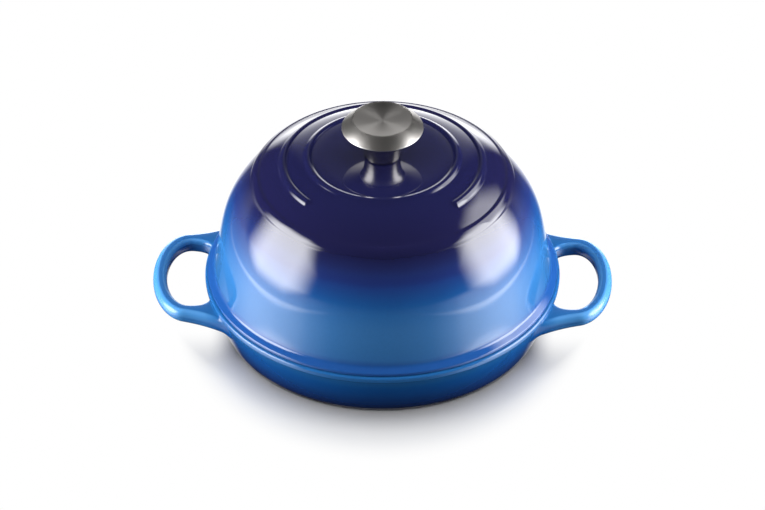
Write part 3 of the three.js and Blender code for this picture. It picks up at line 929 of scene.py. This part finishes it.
def cap_line(knob):
    """Profile of the pressed cap: hollow underside, rolled lip, shoulder, rim and the disc's recess."""
    shoulder_steps, shoulder_pull = 28, 0.45
    under_edge, rim_edge, inner_edge, floor_edge = 1.5 * MM, 0.12 * MM, 0.5 * MM, 1.0 * MM
    low = CAP_LOW.z
    lip = low + knob.cap_rise
    hole = knob.spigot + knob.fit
    recess = knob.disc_radius + knob.fit
    rim = recess + knob.cap_rim
    ledge = CAP_HIGH.z - knob.disc_thickness - knob.fit
    roll = knob.cap_lip / 2
    centre = complex(knob.cap_radius - roll, lip + roll)
    rolled = [centre + cmath.rect(roll, math.radians(angle)) for angle in range(-80, 61, 20)]
    foot = rolled[-1]
    pull = (knob.cap_radius - rim) * shoulder_pull
    shoulder = curve([
        foot,
        foot + cmath.rect(pull, math.pi - knob.cap_fall),
        complex(rim, CAP_HIGH.z) + cmath.rect(pull, -knob.cap_slope),
        complex(rim, CAP_HIGH.z)], shoulder_steps)
    under = rounded([
        (complex(hole, low), 0),
        (complex(knob.neck_top, low), under_edge),
        (rolled[0], 0)])
    inside = rounded([
        (shoulder[-1], 0),
        (complex(recess, CAP_HIGH.z), rim_edge),
        (complex(recess, ledge), 0),
        (complex(recess - knob.cap_wall, ledge), 0),
        (complex(recess - knob.cap_wall, lip + knob.cap_wall), inner_edge),
        (complex(knob.neck_top, low + knob.cap_wall), floor_edge),
        (complex(hole, low + knob.cap_wall), 0)])[1:]
    return under[:-1] + rolled[:-1] + shoulder + inside


def disc_line(knob):
    """Profile of the disc, dished on top."""
    top = DISC_HIGH.z
    dish_steps, edge = 24, 0.15 * MM
    shares = [1 - i / dish_steps for i in range(dish_steps + 1)]
    dish = [complex((knob.disc_radius - edge) * share, top - knob.disc_dish * (1 - share ** 2))
            for share in shares]
    return [complex(0, DISC_LOW.z)] + rounded([
        (complex(0, DISC_LOW.z), 0),
        (complex(knob.disc_radius, DISC_LOW.z), edge),
        (complex(knob.disc_radius, top), edge),
        (dish[1], 0)])[1:-1] + dish[1:]


class SpinKnob(bpy.types.Operator):
    """Turns the knob's neck, presses its cap and lets the brushed disc into it"""
    bl_idname = "bread_pot.knob"
    bl_label = "Turn knob"

    def execute(self, context):
        pot = settings()
        knob = pot.knob
        # Lathe and polishing lines are finer than 0.1 mm; they are drawn 0.5 mm wide, and shallow.
        polished = lathed_steel(
            "Polished stainless steel", pot.steel.polished,
            roughness=0.23, grain=0.3, line_width=0.5 * MM, line_depth=0.0002 * MM)
        satin = lathed_steel(
            "Satin-finished stainless steel", pot.steel.satin,
            roughness=0.31, grain=0.4, line_width=0.5 * MM, line_depth=0.0005 * MM)
        # The disc's brush lines are about 0.1 mm apart; they are drawn 0.45 mm wide so that they show.
        spun = lathed_steel(
            "Spun-brushed stainless steel", pot.steel.spun,
            roughness=0.38, grain=0.8, line_width=0.45 * MM, line_depth=0.002 * MM)
        for name, node_name, line, slot, finish in (
                (NECK_PIECE, "knob_neck", neck_line(knob), "polished_steel", polished),
                (CAP_PIECE, "knob_cap", cap_line(knob), "polished_steel", satin),
                (DISC_PIECE, "knob_top_disc", disc_line(knob), "spun_steel", spun)):
            thing = turned(name, line, around(KNOB_STEPS))
            coat([thing], [finish])
            dress(thing, "knob", [node_name], crease=35)
        return {"FINISHED"}


# Screw joint under the lid

def washer_line(low, high, hole, outside, edge):
    """Profile of a flat ring."""
    return rounded([
        (complex(hole, low), edge), (complex(outside, low), edge),
        (complex(outside, high), edge), (complex(hole, high), edge)], steps=3)


def screw_line(screw):
    """Profile of the screw with its thread as a stack of rings."""
    head_top = SCREW_LOW.z + screw.head_height
    tip = SCREW_HIGH.z
    head = rounded([
        (complex(0, SCREW_LOW.z), 0),
        (complex(screw.head_radius, SCREW_LOW.z), screw.head_edge),
        (complex(screw.head_radius, head_top), 0.2 * MM),
        (complex(screw.thread_radius, head_top), 0)])
    root = screw.thread_radius - screw.thread_depth
    thread = []
    height = head_top + screw.thread_pitch
    while height < tip - 2 * screw.thread_pitch:
        thread += [complex(root, height), complex(screw.thread_radius, height + screw.thread_pitch / 2)]
        height += screw.thread_pitch
    end = [complex(root, height), complex(root - screw.thread_depth, tip), complex(0, tip)]
    return head + thread + end


def block(name, size, centre):
    """A plain cutter for slots, with its six faces outward."""
    made = bmesh.new()
    bmesh.ops.create_cube(made, size=1)
    mesh = bpy.data.meshes.new(name)
    made.to_mesh(mesh)
    made.free()
    for vertex in mesh.vertices:
        vertex.co = Vector(centre) + Vector([a * b for a, b in zip(vertex.co, size)])
    return placed(name, mesh)


class FitScrew(bpy.types.Operator):
    """Fits the threaded bush, the screw and its two washers"""
    bl_idname = "bread_pot.screw"
    bl_label = "Fit screw"

    def execute(self, context):
        pot = settings()
        screw = pot.screw
        hole = pot.lid.screw_hole
        steel = lathed_steel(
            "Plain turned stainless steel", pot.steel.turned,
            roughness=0.28, grain=0.4, line_width=0.5 * MM, line_depth=0.004 * MM)
        ring = around(SCREW_STEPS)
        pieces = {}
        for name, node_name, low, high, outside in (
                ("knob_bush_turned", "knob_insert", INSERT_LOW, INSERT_HIGH, INSERT_HIGH.x),
                ("flat_washer_stamped", "knob_flat_washer", FLAT_LOW, FLAT_HIGH, FLAT_HIGH.x),
                ("spring_washer_split", "knob_lock_washer", LOCK_LOW, LOCK_HIGH, LOCK_HIGH.y)):
            line = washer_line(low.z, high.z, hole, outside, screw.washer_edge)
            pieces[node_name] = turned(name, line, ring)
        split = block("split", (LOCK_HIGH.y, screw.washer_split, 2 * (LOCK_HIGH.z - LOCK_LOW.z)),
                      (hole / 2 + LOCK_HIGH.y * 0.75, 0, (LOCK_HIGH.z + LOCK_LOW.z) / 2))
        joined(pieces["knob_lock_washer"], [split], "DIFFERENCE")
        bolt = pieces["knob_screw"] = turned("knob_screw_pan_head", screw_line(screw), ring)
        long, thin, deep = screw.head_radius, screw.drive_width, 2 * screw.drive_depth
        slots = [block("drive", (*size, deep), (0, 0, SCREW_LOW.z))
                 for size in ((long, thin), (thin, long))]
        joined(bolt, slots, "DIFFERENCE")
        for node_name, thing in pieces.items():
            coat([thing], [steel])
            dress(thing, "knob", [node_name], crease=30)
        return {"FINISHED"}


# Studio

def studio_world():
    """White all round to the camera. The pot sees the studio instead: the bright table to both sides
    and far behind, with its edge as a line, a white backdrop low down behind, and darkness above and
    in front."""
    world = bpy.data.worlds.new("Studio")
    bpy.context.scene.world = world
    world.use_nodes = True
    tree = world.node_tree
    tree.nodes.clear()
    toward = node(tree, "TexCoord").outputs["Generated"]
    reach, way = from_axis(tree, toward)
    facing = node(tree, "Math", {0: way["Y"], 1: reach}, operation="DIVIDE")
    # How bright the table is in each direction: 0 is in front of the pot, 0.5 beside it and 1 behind it.
    turn = node(tree, "MapRange", {"Value": facing, "From Min": -1.0})
    sides = node(tree, "ValToRGB", {"Fac": turn})
    fill_ramp(sides.color_ramp, [(place, (level, level, level, 1)) for place, level in (
        (0.0, 0.04), (0.076, 0.08), (0.117, 0.18), (0.166, 0.32), (0.22, 0.61), (0.281, 0.80),
        (0.40, 1.0), (0.4825, 0.98), (0.5525, 0.87), (0.621, 0.60), (0.6875, 0.37), (0.75, 0.20),
        (0.86, 0.04), (0.905, 0.0), (0.96, 0.03), (1.0, 0.5))])
    # It is dark close under the pot, and ends at the horizon.
    steep = node(tree, "MapRange", {"Value": way["Z"], "From Min": -0.82, "From Max": -0.48}, **SOFT)
    horizon = node(tree, "MapRange", {
        "Value": way["Z"], "From Min": -0.04, "From Max": 0.08, "To Min": 1.0, "To Max": 0.0}, **SOFT)
    below = node(tree, "Math", {0: steep, 1: horizon}, operation="MULTIPLY")
    table = node(tree, "Math", {0: sides, 1: below}, operation="MULTIPLY")
    # Its edges run along both sides, where a direction falls this much over its width.
    edge_fall, least_width = 0.36, 0.05
    aside = node(tree, "Math", {0: way["X"]}, operation="ABSOLUTE")
    wide = node(tree, "Math", {0: aside, 1: least_width}, operation="MAXIMUM")
    dip = node(tree, "Math", {0: way["Z"], 1: wide}, operation="DIVIDE")
    off_edge = node(tree, "Math", {0: dip, 1: edge_fall}, operation="ADD")
    near_edge = node(tree, "Math", {0: off_edge}, operation="ABSOLUTE")
    edge = node(tree, "MapRange", {
        "Value": near_edge, "From Min": 0.01, "From Max": 0.05, "To Min": 2.2, "To Max": 1.0}, **SOFT)
    edged = node(tree, "Math", {0: table, 1: edge}, operation="MULTIPLY")
    # The backdrop rises behind the table and darkens towards its top.
    darkening = 4.0
    behind = node(tree, "MapRange", {"Value": facing, "From Min": 0.91, "From Max": 0.995}, **SOFT)
    left_above = node(tree, "MapRange", {"Value": way["Z"], "To Min": 1.0, "To Max": 0.0})
    low = node(tree, "Math", {0: left_above, 1: darkening}, operation="POWER")
    risen = node(tree, "MapRange", {
        "Value": way["Z"], "From Min": -0.3, "From Max": -0.02, "To Max": 6.0}, **SOFT)
    wall = node(tree, "Math", {0: behind, 1: low}, operation="MULTIPLY")
    backdrop = node(tree, "Math", {0: wall, 1: risen}, operation="MULTIPLY")
    table_level, dark_level = 3.1, 0.02
    lit = node(tree, "Math", {0: edged, 1: table_level, 2: backdrop}, operation="MULTIPLY_ADD")
    seen = node(tree, "Math", {0: lit, 1: dark_level}, operation="MAXIMUM")
    camera_ray = node(tree, "LightPath").outputs["Is Camera Ray"]
    strength = node(tree, "Mix", {0: camera_ray, 2: seen, 3: 1.0})
    sky = node(tree, "Background", {"Color": linear("FFFFFF"), "Strength": strength})
    node(tree, "OutputWorld", {"Surface": sky})


def white_paper():
    """A white paper sweep: it shows the pot's shadow close by in front, and is pure white to the camera
    elsewhere."""
    made, tree = bare_material("White paper sweep")
    spot = node(tree, "TexCoord").outputs["Object"]
    # The shadow ends on an oval round the pot, and on both sides of it further back.
    out, place = from_axis(tree, spot, stretch=(1.15, 1, 0))
    far = node(tree, "MapRange", {"Value": out, "From Min": 0.14, "From Max": 0.172}, **SOFT)
    beside = node(tree, "MapRange", {"Value": place["Y"], "From Min": -0.08, "From Max": -0.02}, **SOFT)
    aside = node(tree, "Math", {0: place["X"]}, operation="ABSOLUTE")
    wide = node(tree, "MapRange", {"Value": aside, "From Min": 0.1, "From Max": 0.125}, **SOFT)
    flank = node(tree, "Math", {0: beside, 1: wide}, operation="MULTIPLY")
    clear = node(tree, "Math", {0: far, 1: flank}, operation="MAXIMUM")
    camera_ray = node(tree, "LightPath").outputs["Is Camera Ray"]
    plain = node(tree, "Math", {0: clear, 1: camera_ray}, operation="MULTIPLY")
    paper = node(tree, "BsdfDiffuse", {"Color": linear("F0F0F0")})
    white = node(tree, "Emission", {"Color": linear("FFFFFF"), "Strength": 1.0})
    shown = node(tree, "MixShader", {0: plain, 1: paper, 2: white})
    node(tree, "OutputMaterial", {"Surface": shown})
    return made


def softbox_cloth(studio, level):
    """The lit front of an eight-sided softbox: bright in the middle and fading out at its edges."""
    made, tree = bare_material("Lit softbox cloth")
    spot = node(tree, "SeparateXYZ", {0: node(tree, "TexCoord").outputs["Object"]}).outputs
    aside = node(tree, "Math", {0: spot["X"]}, operation="ABSOLUTE")
    beyond = 0.0
    for value, start, width in (
            (aside, studio.box_half, studio.side_fade),
            (spot["Z"], studio.box_low, -studio.low_fade),
            (spot["Z"], studio.box_high, studio.high_fade)):
        past = node(tree, "MapRange", {"Value": value, "From Min": start, "From Max": start + width})
        beyond = node(tree, "Math", {0: past, 1: beyond}, operation="ADD")
    share = node(tree, "MapRange", {"Value": beyond, "To Min": 1.0, "To Max": 0.0}, **SOFT)
    back = node(tree, "NewGeometry").outputs["Backfacing"]
    front = node(tree, "Math", {0: 1.0, 1: back}, operation="SUBTRACT")
    shown = node(tree, "Math", {0: share, 1: front}, operation="MULTIPLY")
    clear = node(tree, "BsdfTransparent")
    glow = node(tree, "Emission", {"Color": linear("FFFFFF"), "Strength": level})
    cloth = node(tree, "MixShader", {0: shown, 1: clear, 2: glow})
    node(tree, "OutputMaterial", {"Surface": cloth})
    return made


def pass_over(light, things):
    """Keeps a light off some things, such as the paper, whose shadow comes from the lamp above."""
    spared = bpy.data.collections.new(f"{light.name} passes over")
    for thing in things:
        spared.objects.link(thing)
    light.light_linking.receiver_collection = spared
    for entry in spared.collection_objects:
        entry.light_linking.link_state = "EXCLUDE"


def softbox(name, studio, angle, lift, cloth, spared):
    """A tall softbox at an angle round from the front of the pot."""
    half = studio.box_half + studio.side_fade
    low = studio.box_low - studio.low_fade
    high = studio.box_high + studio.high_fade
    panel = made_object(
        name, [(-half, 0, low), (half, 0, low), (half, 0, high), (-half, 0, high)], [(0, 1, 2, 3)])
    coat([panel], [cloth])
    panel.location = round_axis(angle, studio.box_distance, lift)
    panel.rotation_euler = (0, 0, angle + math.pi)
    panel.visible_camera = False
    pass_over(panel, spared)


def round_lamp(name, width, power, place):
    """A round lamp that faces the pot, too soft to show in a reflection."""
    lamp = bpy.data.lights.new(name, "AREA")
    lamp.shape = "DISK"
    lamp.size = width
    lamp.energy = power
    light = placed(name, lamp)
    light.location = place
    light.rotation_euler = Vector(place).to_track_quat("Z", "Y").to_euler()
    light.visible_camera = False
    light.visible_glossy = False
    return light


def place_camera(studio):
    """Sets the camera where the photograph was taken from."""
    lens = bpy.data.cameras.new("Photograph")
    lens.sensor_width = SENSOR_WIDTH
    lens.lens = studio.focal_pixels * SENSOR_WIDTH / IMAGE_WIDTH
    camera = placed("Photograph", lens)
    camera.location = round_axis(
        studio.azimuth, studio.distance * math.cos(studio.elevation),
        studio.aim + studio.distance * math.sin(studio.elevation))
    camera.rotation_euler = (math.pi / 2 - studio.elevation, 0, studio.azimuth)
    bpy.context.scene.camera = camera


class SetStage(bpy.types.Operator):
    """Sets the white table, the softboxes and lamps, the studio round them and the camera"""
    bl_idname = "bread_pot.stage"
    bl_label = "Set stage"

    def execute(self, context):
        studio = settings().studio
        reach = 12.0
        corners = [(-reach, -reach, 0), (reach, -reach, 0), (reach, reach, 0), (-reach, reach, 0)]
        floor = made_object("table", corners, [(0, 1, 2, 3)])
        coat([floor], [white_paper()])
        # The world stands in for the paper in all that the pot reflects and gathers from below.
        floor.visible_glossy = False
        floor.visible_diffuse = False
        floor.visible_shadow = False
        studio_world()
        cloth = softbox_cloth(studio, studio.box_level)
        softbox("Left softbox", studio, -studio.left_angle, 0, cloth, [floor])
        softbox("Right softbox", studio, studio.right_angle, 0, cloth, [floor])
        # The third softbox is flagged off the knob, which would turn white on that side.
        knob = [bpy.data.objects[name] for name in (NECK_PIECE, CAP_PIECE, DISC_PIECE)]
        softbox("Rear softbox", studio, studio.rear_angle, studio.rear_lift,
                softbox_cloth(studio, studio.rear_level), [floor] + knob)
        round_lamp("Overhead lamp", studio.overhead_width, studio.overhead_power,
                   (0, 0, studio.overhead_height))
        for name, angle in (("Left lamp", -studio.side_angle), ("Right lamp", studio.side_angle)):
            place = round_axis(angle, studio.side_distance, studio.side_height)
            pass_over(round_lamp(name, studio.side_width, studio.side_power, place), [floor])
        place_camera(studio)
        context.scene.view_settings.view_transform = "Standard"
        return {"FINISHED"}


class PotPanel(bpy.types.Panel):
    """The pot's sizes, colours and steps"""
    bl_idname = "VIEW3D_PT_bread_pot"
    bl_label = "Bread pot"
    bl_space_type = "VIEW_3D"
    bl_region_type = "UI"
    bl_category = "Bread pot"

    def draw(self, context):
        pot = settings()
        for group in ("base", "handle", "lid", "knob", "screw", "enamel", "steel", "studio"):
            box = self.layout.box()
            box.label(text=pot.bl_rna.properties[group].name)
            values = getattr(pot, group)
            for name in values.__annotations__:
                box.prop(values, name)
        for step in STEPS:
            self.layout.operator(step.bl_idname)


STEPS = (CastBase, CastLid, SpinKnob, FitScrew, SetStage)
GROUPS = (BaseSizes, HandleSizes, LidSizes, KnobSizes, ScrewSizes,
          EnamelColours, SteelColours, StudioSettings)
CLASSES = GROUPS + (PotSettings,) + STEPS + (PotPanel,)


def register():
    for kind in CLASSES:
        bpy.utils.register_class(kind)
    bpy.types.Scene.bread_pot = bpy.props.PointerProperty(type=PotSettings)


def unregister():
    del bpy.types.Scene.bread_pot
    for kind in reversed(CLASSES):
        bpy.utils.unregister_class(kind)


def main():
    register()
    bpy.ops.bread_pot.base()
    bpy.ops.bread_pot.lid()
    bpy.ops.bread_pot.knob()
    bpy.ops.bread_pot.screw()
    bpy.ops.bread_pot.stage()


if __name__ == "__main__":
    main()
